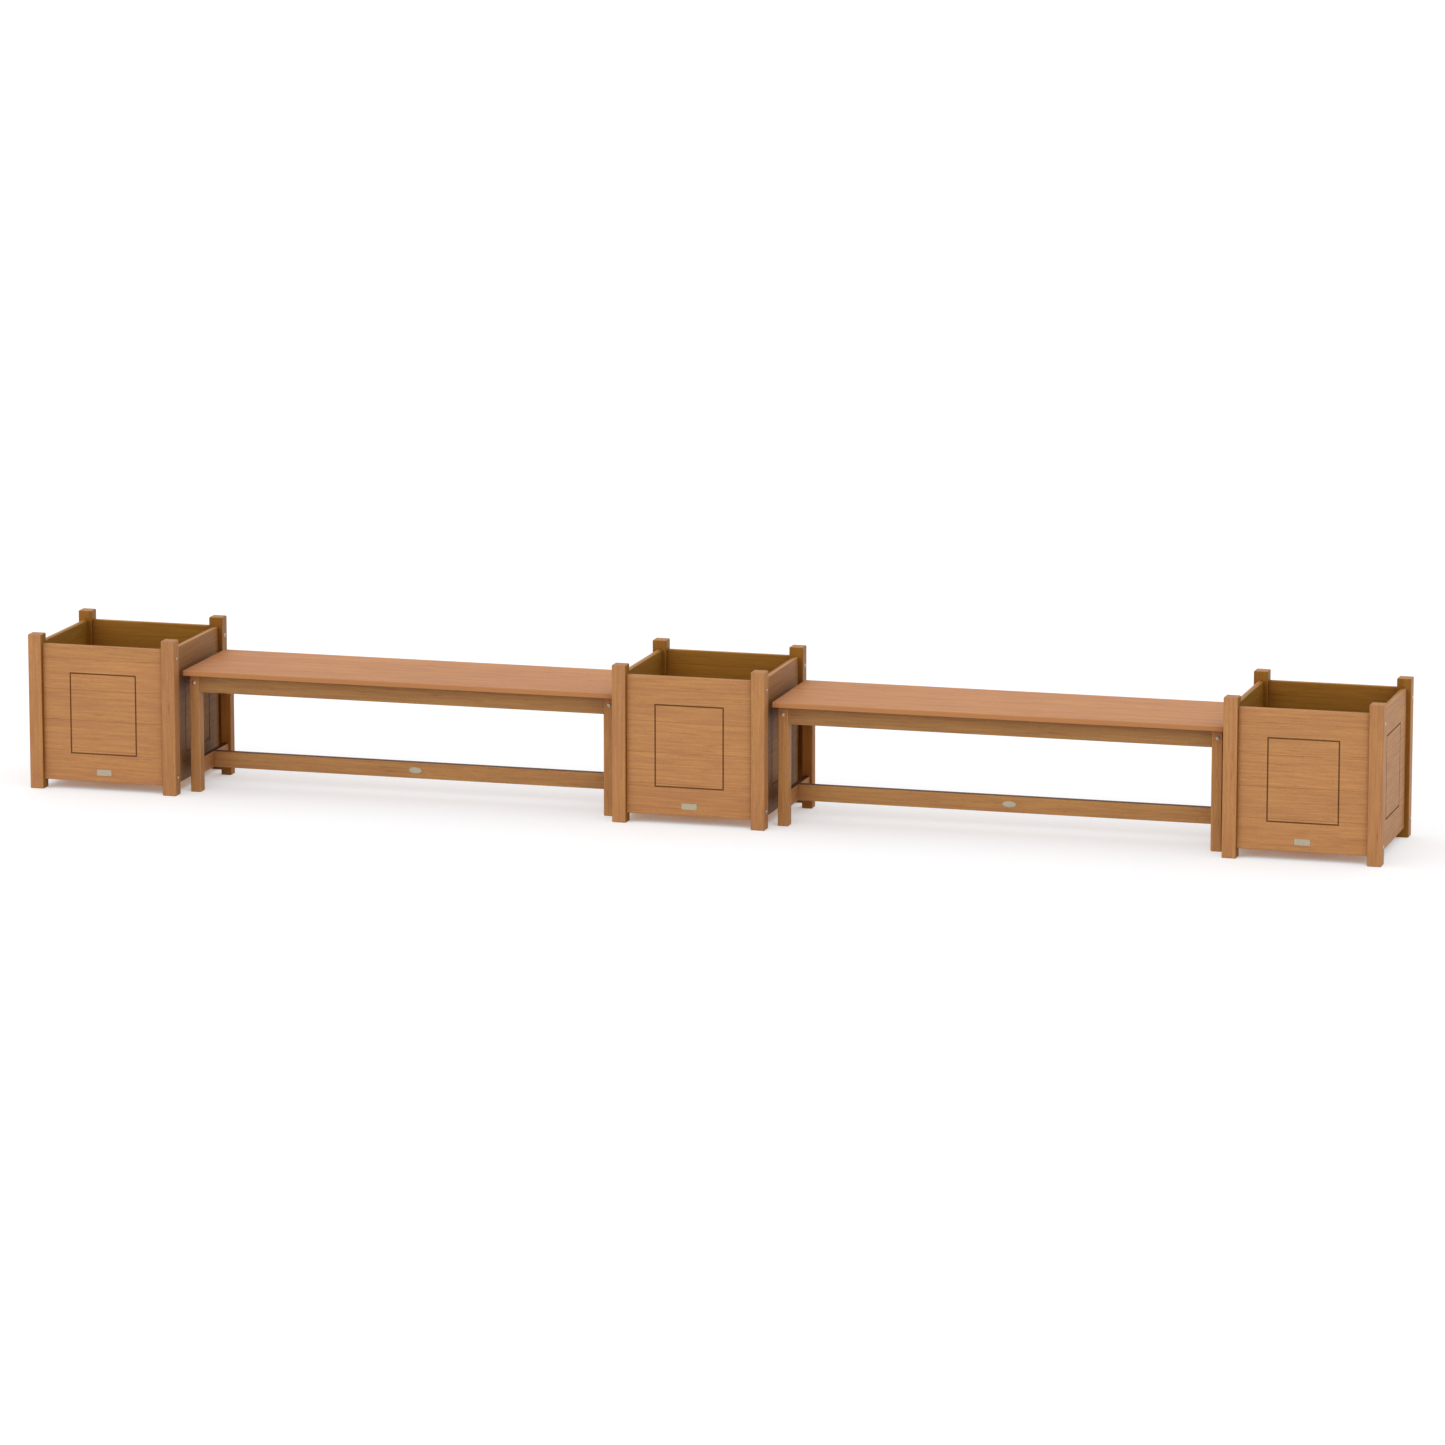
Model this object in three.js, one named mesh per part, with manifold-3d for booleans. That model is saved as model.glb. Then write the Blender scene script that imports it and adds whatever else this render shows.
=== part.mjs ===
// A row of street furniture in oiled hardwood: three square planter boxes, with a
// bench between each two of them. The benches stand free, a little clear of the posts.
//
// A planter has four posts. Its left and right panels are tongued into stopped grooves
// in the posts and glued, which makes two side frames. Its front and back panels butt
// between the side frames, and bolts through the posts run into threaded inserts in
// the panels' ends, so that nothing shows inside the box.
// Every panel has a square outline routed in its outer face. The floor board is notched
// round the posts, has drain holes, and lies on two cleats.
//
// A bench has four legs. The long aprons and the low end stretchers are tenoned into
// the legs, and the end rails under the seat are bolted through the legs alike. A long
// stretcher is tenoned between the end stretchers, a cross rail between the aprons,
// and one wide seat board lies on top.
//
// Lengths are in millimetres. +X runs along the row, -Y is the front and +Z is up. The
// origin is on the ground under the middle planter.

import * as THREE from 'three';
import { mergeVertices } from 'three/addons/utils/BufferGeometryUtils.js';
import Module from 'manifold-3d';

const wasm = await Module();
wasm.setup();

// The row
const planterNames = ['left', 'middle', 'right'];
const benchNames = ['left', 'right'];
const seatGap = 9; // between a seat board's end and the planter's posts

// Planter
const planterSize = 550; // over the posts, both ways
const postSize = 50;
const postHeight = 556;
const postRise = 34; // how far the posts stand above the panels
const footHeight = 33; // clear height under the panels
const postArris = 3;
const panelThickness = 20;
const panelSetback = 16; // from the posts' outer faces
const panelArris = 2.5;
const tongueThickness = 10;
const tongueLength = 12;
const tongueShoulder = 14;
const outlineWidth = 5;
const outlineDepth = 3;
const outlineSideInset = 100; // from the posts
const outlineEndInset = 98; // from the panel's top and bottom edges
const panelBoltInset = 33; // from the panel's top and bottom edges
const floorThickness = 15;
const floorLift = 47; // the floor's underside, above the panels' lower edges
const floorPlay = 1;
const drainDiameter = 20;
const drainSpread = 125; // from the middle to the outer drain holes, each way
const cleatWidth = 22;
const cleatHeight = 25;
const cleatArris = 1.5;

// Bench
const seatLength = 1592;
const seatDepth = 438;
const seatHeight = 443; // the sitting face above the ground
const seatThickness = 18;
const seatCorner = 5;
const seatArris = 3;
const seatEndOverhang = 12;
const seatSideOverhang = 40;
const legWidth = 38;
const legDepth = 42;
const legArris = 3;
const apronThickness = 20;
const apronHeight = 64;
const apronSetback = 2; // from the legs' outer faces
const apronTenonThickness = 8;
const apronTenonLength = 15;
const apronShoulder = 12;
const railArris = 2;
const endRailThickness = 22;
const endRailBoltInset = 17; // from the legs' outer faces
const endRailBoltDrop = 30; // below the legs' tops
const stretcherHeight = 58;
const stretcherLift = 59; // clear height under the stretchers
const endStretcherThickness = 20;
const endStretcherTenonLength = 15;
const longStretcherThickness = 24;
const longStretcherTenonLength = 12;
const stretcherTenonThickness = 8;
const stretcherShoulder = 10;
const crossRailThickness = 22;
const crossRailHeight = 45;
const crossRailTenonLength = 8;
const crossRailTenonThickness = 10;
const crossRailShoulder = 8;

// Bolts, threaded inserts and clearances
const endChamfer = 2.4; // at the ends of posts and legs
const boltBore = 7;
const boltReach = 40; // how far a bolt's hole runs into the end of a rail or panel
const insertBore = 10;
const insertReach = 22; // how far the wider hole for its insert runs in
const jointGap = 0.3; // glue line, or the gap at two faces that meet
const cutOverrun = 4; // how far a cut runs past the face that it opens

// Counts of facets
const arrisSteps = 2;
const drainSteps = 6;
const boreSides = 12;

// Colours and finish
const boardColour = 0xb88454;
const seatColour = 0xc99571;
const railColour = 0xa57648;
const innerColour = 0x8a5f35;
const woodRoughness = 0.62;

// Sizes that follow
const quarterTurn = Math.PI / 2;
const halfTurn = Math.PI;
const spacing = planterSize + seatLength + 2 * seatGap;
const postPlace = (planterSize - postSize) / 2;
const panelSpan = planterSize - 2 * postSize;
const panelLength = panelSpan - 2 * jointGap;
const panelHeight = postHeight - postRise - footHeight;
const panelMiddle = footHeight + panelHeight / 2;
const panelInnerFace = planterSize / 2 - panelSetback - panelThickness;
const panelPlace = panelInnerFace + panelThickness / 2;
const panelOffset = postPlace - panelPlace; // from a post's middle towards the planter's
const tongueHeight = panelHeight - 2 * tongueShoulder;
const floorUnderside = footHeight + floorLift;
const cleatPlace = panelInnerFace - jointGap - cleatWidth / 2;
const cleatMiddle = floorUnderside - jointGap - cleatHeight / 2;

const legHeight = seatHeight - seatThickness - jointGap;
const legPlaceX = seatLength / 2 - seatEndOverhang - legWidth / 2;
const legPlaceY = seatDepth / 2 - seatSideOverhang - legDepth / 2;
const apronLength = 2 * legPlaceX - legWidth - 2 * jointGap;
const apronMiddle = legHeight - apronHeight / 2;
const apronOffset = legDepth / 2 - apronSetback - apronThickness / 2; // from a leg's middle
const apronPlace = legPlaceY + apronOffset;
const apronTenonHeight = apronHeight - 2 * apronShoulder;
const endPieceLength = 2 * legPlaceY - legDepth - 2 * jointGap;
const endRailOffset = legWidth / 2 - endRailBoltInset; // from a leg's middle
const endRailPlace = legPlaceX + endRailOffset;
const endRailBoltRise = apronHeight / 2 - endRailBoltDrop; // above a rail's middle
const stretcherMiddle = stretcherLift + stretcherHeight / 2;
const stretcherTenonHeight = stretcherHeight - 2 * stretcherShoulder;
const longStretcherLength = 2 * legPlaceX - endStretcherThickness - 2 * jointGap;
const crossRailLength = 2 * apronPlace - apronThickness - 2 * jointGap;
const crossRailMiddle = legHeight - crossRailHeight / 2;
const crossRailTenonHeight = crossRailHeight - 2 * crossRailShoulder;

// Solids

// A closed geometry as a solid that can be cut and joined.
function solid(geometry) {
  geometry.deleteAttribute('normal');
  geometry.deleteAttribute('uv');
  const merged = mergeVertices(geometry);
  const vertProperties = new Float32Array(merged.attributes.position.array);
  const triVerts = new Uint32Array(merged.index.array);
  return new wasm.Manifold(new wasm.Mesh({ numProp: 3, vertProperties, triVerts }));
}

// A finished solid as a geometry with flat faces.
function geometryOf(body) {
  const { vertProperties, triVerts } = body.getMesh();
  const geometry = new THREE.BufferGeometry();
  geometry.setAttribute('position', new THREE.BufferAttribute(vertProperties, 3));
  geometry.setIndex(new THREE.BufferAttribute(triVerts, 1));
  const faceted = geometry.toNonIndexed();
  faceted.computeVertexNormals();
  return faceted;
}

// A block with its middle at x, y, z.
function block(width, depth, height, x, y, z) {
  return solid(new THREE.BoxGeometry(width, depth, height).translate(x, y, z));
}

// A round hole's core along X, with its middle at x, y, z.
function boreAlongX(diameter, length, x, y, z) {
  const core = new THREE.CylinderGeometry(diameter / 2, diameter / 2, length, boreSides);
  return solid(core.rotateZ(quarterTurn).translate(x, y, z));
}

// The same along Y.
function boreAlongY(diameter, length, x, y, z) {
  const core = new THREE.CylinderGeometry(diameter / 2, diameter / 2, length, boreSides);
  return solid(core.translate(x, y, z));
}

// A rectangle about the origin with rounded corners.
function roundedRectangle(width, height, radius) {
  const x = width / 2 - radius;
  const y = height / 2 - radius;
  const outline = new THREE.Shape();
  outline.absarc(x, -y, radius, -quarterTurn, 0);
  outline.absarc(x, y, radius, 0, quarterTurn);
  outline.absarc(-x, y, radius, quarterTurn, halfTurn);
  outline.absarc(-x, -y, radius, halfTurn, halfTurn + quarterTurn);
  outline.closePath();
  return outline;
}

// An upright bar or a flat board, standing on zero, with its corners rounded and the
// edges of its top and bottom faces eased in a number of steps.
function easedBlock(width, depth, height, corner, ease, easeSteps) {
  const form = new THREE.ExtrudeGeometry(roundedRectangle(width, depth, corner), {
    depth: height - 2 * ease,
    curveSegments: arrisSteps,
    bevelThickness: ease,
    bevelSize: ease,
    bevelOffset: -ease,
    bevelSegments: easeSteps
  });
  return solid(form.translate(0, 0, ease));
}

// A bar along X about the origin, with its four long edges rounded.
function bar(length, thickness, height, arris) {
  const form = new THREE.ExtrudeGeometry(roundedRectangle(thickness, height, arris), {
    depth: length,
    curveSegments: arrisSteps,
    bevelEnabled: false
  });
  const alongX = new THREE.Matrix4().makeBasis(
    new THREE.Vector3(0, 1, 0),
    new THREE.Vector3(0, 0, 1),
    new THREE.Vector3(1, 0, 0)
  );
  return solid(form.translate(0, 0, -length / 2).applyMatrix4(alongX));
}

// A bar with a tenon, or a long tongue, on each end.
function tenonedBar(length, thickness, height, arris, tenon) {
  const { tenonThickness, tenonHeight, tenonLength } = tenon;
  const throughLength = length + 2 * tenonLength;
  const core = block(throughLength, tenonThickness, tenonHeight, 0, 0, 0);
  return bar(length, thickness, height, arris).add(core);
}

// The socket for a tenon in a face that looks along X. side is the way that it looks.
function socketAlongX(tenon, face, side, y, z) {
  const { tenonThickness, tenonHeight, tenonLength } = tenon;
  const reach = tenonLength + cutOverrun;
  const x = side * (face + cutOverrun - reach / 2);
  const width = tenonThickness + 2 * jointGap;
  return block(reach, width, tenonHeight + 2 * jointGap, x, y, z);
}

// The same in a face that looks along +Y.
function socketAlongY(tenon, face, x, z) {
  const { tenonThickness, tenonHeight, tenonLength } = tenon;
  const reach = tenonLength + cutOverrun;
  const y = face + cutOverrun - reach / 2;
  const width = tenonThickness + 2 * jointGap;
  return block(width, reach, tenonHeight + 2 * jointGap, x, y, z);
}

// The holes in both ends of a bar along X, at a height from its middle: a wide one for
// a threaded insert, and a narrow one beyond it for the bolt's tip.
function boltHoles(length, height) {
  const tipRun = boltReach + cutOverrun;
  const insertRun = insertReach + cutOverrun;
  const mouth = length / 2 + cutOverrun;
  const holes = [-1, 1].map((side) => {
    const tip = boreAlongX(boltBore, tipRun, side * (mouth - tipRun / 2), 0, height);
    const insert = boreAlongX(insertBore, insertRun, side * (mouth - insertRun / 2), 0, height);
    return tip.add(insert);
  });
  return holes[0].add(holes[1]);
}

// Planter pieces. Each panel is made along X with its outer face to -Y.

const panelTongue = {
  tenonThickness: tongueThickness,
  tenonHeight: tongueHeight,
  tenonLength: tongueLength
};
const panelBoltRise = panelHeight / 2 - panelBoltInset; // from a panel's middle

// The ring that a cutter leaves as it follows a square: its outer corners are round.
function routedOutline() {
  const width = panelSpan - 2 * outlineSideInset;
  const height = panelHeight - 2 * outlineEndInset;
  const ring = roundedRectangle(width, height, outlineWidth / 2);
  const inner = new THREE.Path();
  const x = width / 2 - outlineWidth;
  const z = height / 2 - outlineWidth;
  inner.moveTo(-x, -z);
  inner.lineTo(-x, z);
  inner.lineTo(x, z);
  inner.lineTo(x, -z);
  inner.closePath();
  ring.holes.push(inner);
  const cut = new THREE.ExtrudeGeometry(ring, {
    depth: outlineDepth + cutOverrun,
    curveSegments: arrisSteps,
    bevelEnabled: false
  });
  const face = -panelThickness / 2 + outlineDepth;
  return solid(cut.rotateX(quarterTurn).translate(0, face, 0));
}

// A front post standing on zero. side is -1 for the left and 1 for the right.
function planterPost(side) {
  const post = easedBlock(postSize, postSize, postHeight, postArris, endChamfer, 1);
  const groove = socketAlongY(panelTongue, postSize / 2, -side * panelOffset, panelMiddle);
  const bores = [-1, 1].map((end) => {
    const height = panelMiddle + end * panelBoltRise;
    return boreAlongX(boltBore, postSize + 2 * cutOverrun, 0, panelOffset, height);
  });
  return geometryOf(post.subtract(groove).subtract(bores[0]).subtract(bores[1]));
}

function sidePanel() {
  const board = tenonedBar(panelLength, panelThickness, panelHeight, panelArris, panelTongue);
  return geometryOf(board.subtract(routedOutline()));
}

function facePanel() {
  const board = bar(panelLength, panelThickness, panelHeight, panelArris);
  const lower = boltHoles(panelLength, -panelBoltRise);
  const upper = boltHoles(panelLength, panelBoltRise);
  return geometryOf(board.subtract(routedOutline()).subtract(lower).subtract(upper));
}

// The floor board, notched at its corners, with a drain hole in the middle and four more.
function planterFloor() {
  const reach = panelInnerFace - floorPlay;
  const notch = planterSize / 2 - postSize - floorPlay;
  const corners = [
    [-notch, -reach], [notch, -reach], [notch, -notch], [reach, -notch],
    [reach, notch], [notch, notch], [notch, reach], [-notch, reach],
    [-notch, notch], [-reach, notch], [-reach, -notch], [-notch, -notch]
  ];
  const outline = new THREE.Shape(corners.map(([x, y]) => new THREE.Vector2(x, y)));
  const drains = [[0, 0], [-1, -1], [1, -1], [1, 1], [-1, 1]];
  for (const [x, y] of drains) {
    const hole = new THREE.Path();
    hole.absarc(x * drainSpread, y * drainSpread, drainDiameter / 2, 0, 2 * halfTurn, true);
    outline.holes.push(hole);
  }
  const board = new THREE.ExtrudeGeometry(outline, {
    depth: floorThickness,
    curveSegments: drainSteps,
    bevelEnabled: false
  });
  return geometryOf(solid(board));
}

function floorCleat() {
  return geometryOf(bar(panelLength, cleatWidth, cleatHeight, cleatArris));
}

// Bench pieces. Each rail is made along X with its outer face to -Y.

const apronTenon = {
  tenonThickness: apronTenonThickness,
  tenonHeight: apronTenonHeight,
  tenonLength: apronTenonLength
};
const endStretcherTenon = {
  tenonThickness: stretcherTenonThickness,
  tenonHeight: stretcherTenonHeight,
  tenonLength: endStretcherTenonLength
};
const longStretcherTenon = {
  tenonThickness: stretcherTenonThickness,
  tenonHeight: stretcherTenonHeight,
  tenonLength: longStretcherTenonLength
};
const crossRailTenon = {
  tenonThickness: crossRailTenonThickness,
  tenonHeight: crossRailTenonHeight,
  tenonLength: crossRailTenonLength
};

function seatBoard() {
  return geometryOf(easedBlock(seatLength, seatDepth, seatThickness, seatCorner, seatArris, 2));
}

// A front leg standing on zero. side is -1 for the left and 1 for the right.
function benchLeg(side) {
  const leg = easedBlock(legWidth, legDepth, legHeight, legArris, endChamfer, 1);
  const apronSocket = socketAlongX(apronTenon, legWidth / 2, -side, -apronOffset, apronMiddle);
  const stretcherSocket = socketAlongY(endStretcherTenon, legDepth / 2, 0, stretcherMiddle);
  const bore = boreAlongY(
    boltBore,
    legDepth + 2 * cutOverrun,
    side * endRailOffset,
    0,
    legHeight - endRailBoltDrop
  );
  return geometryOf(leg.subtract(apronSocket).subtract(stretcherSocket).subtract(bore));
}

function apron() {
  const board = tenonedBar(apronLength, apronThickness, apronHeight, railArris, apronTenon);
  const rise = crossRailMiddle - apronMiddle;
  return geometryOf(board.subtract(socketAlongY(crossRailTenon, apronThickness / 2, 0, rise)));
}

function endRail() {
  const rail = bar(endPieceLength, endRailThickness, apronHeight, railArris);
  return geometryOf(rail.subtract(boltHoles(endPieceLength, endRailBoltRise)));
}

function endStretcher() {
  const rail = tenonedBar(
    endPieceLength,
    endStretcherThickness,
    stretcherHeight,
    railArris,
    endStretcherTenon
  );
  const socket = socketAlongY(longStretcherTenon, endStretcherThickness / 2, 0, 0);
  return geometryOf(rail.subtract(socket));
}

function longStretcher() {
  return geometryOf(tenonedBar(
    longStretcherLength,
    longStretcherThickness,
    stretcherHeight,
    railArris,
    longStretcherTenon
  ));
}

function crossRail() {
  return geometryOf(tenonedBar(
    crossRailLength,
    crossRailThickness,
    crossRailHeight,
    railArris,
    crossRailTenon
  ));
}

// Assembly

// A named piece in its place, turned about the upright axis.
function piece(name, geometry, colour, x, y, z, turn = 0) {
  const material = new THREE.MeshStandardMaterial({
    color: colour,
    roughness: woodRoughness,
    metalness: 0
  });
  const mesh = new THREE.Mesh(geometry, material);
  mesh.name = name;
  mesh.position.set(x, y, z);
  mesh.rotation.z = turn;
  return mesh;
}

const forms = {
  postLeft: planterPost(-1),
  postRight: planterPost(1),
  sidePanel: sidePanel(),
  facePanel: facePanel(),
  floor: planterFloor(),
  cleat: floorCleat(),
  seat: seatBoard(),
  legLeft: benchLeg(-1),
  legRight: benchLeg(1),
  apron: apron(),
  endRail: endRail(),
  endStretcher: endStretcher(),
  longStretcher: longStretcher(),
  crossRail: crossRail()
};

// A back post is the opposite front post, turned half round. So is a back leg.
function planter(name) {
  const group = new THREE.Group();
  const add = (part, ...rest) => group.add(piece(`${name}_planter_${part}`, ...rest));
  const p = postPlace;
  add('post_front_left', forms.postLeft, boardColour, -p, -p, 0);
  add('post_front_right', forms.postRight, boardColour, p, -p, 0);
  add('post_back_left', forms.postRight, boardColour, -p, p, 0, halfTurn);
  add('post_back_right', forms.postLeft, boardColour, p, p, 0, halfTurn);
  add('panel_front', forms.facePanel, boardColour, 0, -panelPlace, panelMiddle);
  add('panel_back', forms.facePanel, boardColour, 0, panelPlace, panelMiddle, halfTurn);
  add('panel_left', forms.sidePanel, boardColour, -panelPlace, 0, panelMiddle, -quarterTurn);
  add('panel_right', forms.sidePanel, boardColour, panelPlace, 0, panelMiddle, quarterTurn);
  add('floor', forms.floor, innerColour, 0, 0, floorUnderside);
  add('cleat_left', forms.cleat, innerColour, -cleatPlace, 0, cleatMiddle, -quarterTurn);
  add('cleat_right', forms.cleat, innerColour, cleatPlace, 0, cleatMiddle, quarterTurn);
  return group;
}

function bench(name) {
  const group = new THREE.Group();
  const add = (part, ...rest) => group.add(piece(`${name}_bench_${part}`, ...rest));
  const x = legPlaceX;
  const y = legPlaceY;
  add('seat', forms.seat, seatColour, 0, 0, seatHeight - seatThickness);
  add('leg_front_left', forms.legLeft, boardColour, -x, -y, 0);
  add('leg_front_right', forms.legRight, boardColour, x, -y, 0);
  add('leg_back_left', forms.legRight, boardColour, -x, y, 0, halfTurn);
  add('leg_back_right', forms.legLeft, boardColour, x, y, 0, halfTurn);
  add('apron_front', forms.apron, railColour, 0, -apronPlace, apronMiddle);
  add('apron_back', forms.apron, railColour, 0, apronPlace, apronMiddle, halfTurn);
  add('end_rail_left', forms.endRail, railColour, -endRailPlace, 0, apronMiddle, -quarterTurn);
  add('end_rail_right', forms.endRail, railColour, endRailPlace, 0, apronMiddle, quarterTurn);
  add('end_stretcher_left', forms.endStretcher, railColour, -x, 0, stretcherMiddle, -quarterTurn);
  add('end_stretcher_right', forms.endStretcher, railColour, x, 0, stretcherMiddle, quarterTurn);
  add('long_stretcher', forms.longStretcher, railColour, 0, 0, stretcherMiddle);
  add('cross_rail', forms.crossRail, railColour, 0, 0, crossRailMiddle, quarterTurn);
  return group;
}

// Units of one kind stand a spacing apart, evenly about the middle of the row.
function inRow(names, make) {
  return names.map((name, index) => {
    const unit = make(name);
    unit.position.x = (index - (names.length - 1) / 2) * spacing;
    return unit;
  });
}

const row = new THREE.Group();
row.name = 'bench_with_planters';
row.add(...inRow(planterNames, planter), ...inRow(benchNames, bench));

export default row;
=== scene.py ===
# %% [markdown]
# A row of street furniture on a pale studio floor: three planter boxes of oiled teak,
# with a backless bench between each two of them. Its wooden pieces are solids that come
# ready in the frame, 59 of them, each at its real place and size. What is left to do here
# is their finish, the small metal pieces that sit on them, the camera, and the light.

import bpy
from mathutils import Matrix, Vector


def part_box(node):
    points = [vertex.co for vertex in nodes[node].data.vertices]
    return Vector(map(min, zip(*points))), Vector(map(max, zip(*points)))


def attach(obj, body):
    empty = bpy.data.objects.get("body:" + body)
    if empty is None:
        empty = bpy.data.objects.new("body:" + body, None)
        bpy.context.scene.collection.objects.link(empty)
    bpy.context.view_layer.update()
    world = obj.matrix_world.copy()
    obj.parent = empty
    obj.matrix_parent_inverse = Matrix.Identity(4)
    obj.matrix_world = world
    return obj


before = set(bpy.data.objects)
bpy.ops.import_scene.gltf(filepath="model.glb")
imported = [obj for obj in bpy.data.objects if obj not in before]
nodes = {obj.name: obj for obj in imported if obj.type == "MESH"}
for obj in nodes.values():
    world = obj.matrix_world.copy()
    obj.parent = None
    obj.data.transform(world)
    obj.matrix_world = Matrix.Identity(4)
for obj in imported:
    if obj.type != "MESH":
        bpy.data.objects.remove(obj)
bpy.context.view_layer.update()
print("wooden pieces:", len(nodes))

# %% [markdown]
# Blender counts in metres and in linear light. A maker thinks in millimetres, and a
# colour is easiest to write as a hex value, as a paint chart or a photograph gives it.
# One factor turns millimetres into metres, and one small function makes light linear.

# %% Units and colours
import math

import bpy
import numpy as np

MM = 0.001


def linear(hex_colour):
    """An sRGB hex colour as the linear red, green, blue and alpha that Blender wants."""
    parts = [int(hex_colour[at:at + 2], 16) / 255 for at in (1, 3, 5)]
    curve = [p / 12.92 if p <= 0.04045 else ((p + 0.055) / 1.055) ** 2.4 for p in parts]
    return (*curve, 1.0)


print("mid grey in linear light:", [round(value, 3) for value in linear("#808080")])

# %% [markdown]
# The photograph was taken with a long lens from far off, a little to the right of the
# row and a little above it. A long lens keeps the three boxes nearly the same size. The
# place, the turn and the focal length come from one fit of a camera to the edges of the
# wood, so they're set as numbers. The camera has no roll and no shift.

# %% Camera
PHOTO_WIDTH = 1445  # pixels, in both directions
FOCAL_LENGTH = 7149.9  # the same pixels
SENSOR = 36.0  # millimetres
CAMERA_PLACE = (6.77135, -23.55742, 5.09573)
CAMERA_TURN = 15.9332  # degrees to the left, away from straight along +Y
CAMERA_TILT = 11.0340  # degrees down

scene = bpy.context.scene
lens = bpy.data.cameras.new("photo_camera")
lens.sensor_fit = "HORIZONTAL"
lens.sensor_width = SENSOR
lens.lens = SENSOR * FOCAL_LENGTH / PHOTO_WIDTH
camera = bpy.data.objects.new("photo_camera", lens)
camera.location = CAMERA_PLACE
camera.rotation_euler = (math.radians(90 - CAMERA_TILT), 0, math.radians(CAMERA_TURN))
scene.collection.objects.link(camera)
scene.camera = camera
print("focal length in mm:", round(lens.lens, 2))

# %% [markdown]
# Every finish below is a small graph of nodes. Adding a node takes the same three steps
# each time: make it, choose its settings, and fill or link its inputs. One function does
# all three. An input is given as a plain value, or as the output of another node.

# %% One function for nodes
MIX_FACTOR, MIX_FIRST, MIX_SECOND, MIX_RESULT = 0, 6, 7, 2  # a colour Mix node's sockets


def node(tree, kind, inputs, **settings):
    """Adds a node with its settings. Each input gets a value, or a link from an output."""
    made = tree.nodes.new(kind)
    for name, value in settings.items():
        setattr(made, name, value)
    for name, value in inputs.items():
        if isinstance(value, bpy.types.NodeSocket):
            tree.links.new(value, made.inputs[name])
        else:
            made.inputs[name].default_value = value
    return made


def new_material(name):
    """An empty material, its graph and its output node."""
    material = bpy.data.materials.new(name)
    material.use_nodes = True
    material.node_tree.nodes.clear()
    output = node(material.node_tree, "ShaderNodeOutputMaterial", {})
    return material, material.node_tree, output


print("node helper ready")

# %% [markdown]
# The wood is teak, planed, sanded and wiped with oil. Oil soaks in and leaves no film,
# so the eye gets a satin surface, a warm golden brown, and no sharp reflections.
#
# A panel or a seat is too wide for one plank. It is glued up from staves a little over
# 100 mm wide, and each stave was cut from another part of a log. So the pattern is built
# stave by stave. A grid of cells gives every stave, post and rail its own random numbers,
# and these shift its tint and the place of its pattern. A picture of wood would be
# easier, but its grain would run through every joint.

# %% A point's place in its stave
SHUFFLE = 9.0  # metres, the most that a stave's pattern is moved along


def place_in_stave(tree, axes, cell, offset):
    """What the patterns need to know of a point. axes are grain, across and depth."""
    place = node(tree, "ShaderNodeTexCoord", {})
    row = node(tree, "ShaderNodeSeparateXYZ", {0: place.outputs["Object"]})
    facing = node(tree, "ShaderNodeSeparateXYZ", {0: place.outputs["Normal"]})
    along = node(tree, "ShaderNodeCombineXYZ", {
        "X": row.outputs[axes[0]],
        "Y": row.outputs[axes[1]],
        "Z": row.outputs[axes[2]],
    })
    scaled = node(tree, "ShaderNodeVectorMath", {
        0: along.outputs[0],
        1: tuple(1 / (size * MM) for size in cell),
        2: tuple(shift / size for shift, size in zip(offset, cell)),
    }, operation="MULTIPLY_ADD")
    index = node(tree, "ShaderNodeVectorMath", {0: scaled.outputs[0]}, operation="FLOOR")
    chance = node(tree, "ShaderNodeTexWhiteNoise", {"Vector": index.outputs[0]})
    share = node(tree, "ShaderNodeVectorMath", {0: scaled.outputs[0]}, operation="FRACTION")
    inside = node(tree, "ShaderNodeVectorMath", {
        0: share.outputs[0],
        1: tuple(size * MM for size in cell),
        2: tuple(-size * MM / 2 for size in cell),
    }, operation="MULTIPLY_ADD")
    shuffled = node(tree, "ShaderNodeVectorMath", {
        0: chance.outputs["Color"],
        1: (SHUFFLE, SHUFFLE, SHUFFLE),
        2: along.outputs[0],
    }, operation="MULTIPLY_ADD")
    return {
        "row": row.outputs,  # the place in the whole row of furniture
        "facing": facing.outputs,  # the way that the surface faces
        "inside": inside.outputs[0],  # the distance from the stave's middle
        "chance": chance.outputs["Color"],  # the stave's random numbers
        "shuffled": shuffled.outputs[0],  # the place, moved by them
    }


print("a stave's pattern moves by up to", SHUFFLE, "m")

# %% [markdown]
# A trunk's growth rings run round its heart. Where a saw cuts a board off them, they show
# as long flat arches. So the rings are drawn as tubes round a line behind the face, which
# strays a little along the stave, and each stave's random numbers place that line.

# %% Growth rings
RING_SPACING = 7  # mm, like the next four
RING_WANDER = 16  # how far the heart strays along a stave
WANDER_LENGTH = 420
HEART_DEPTH = 45  # the log's heart lies at least this far behind the face
HEART_SPREAD = 70
RING_WOBBLE = 1.6
WAVE_TURNS = 20 / (2 * math.pi)  # Blender's Wave repeats this often in one unit


def stretched(length, width):
    """Multiplies a place so that a noise of scale 1 makes spots of this size in mm."""
    return (1 / (length * MM), 1 / (width * MM), 1 / (width * MM))


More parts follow.
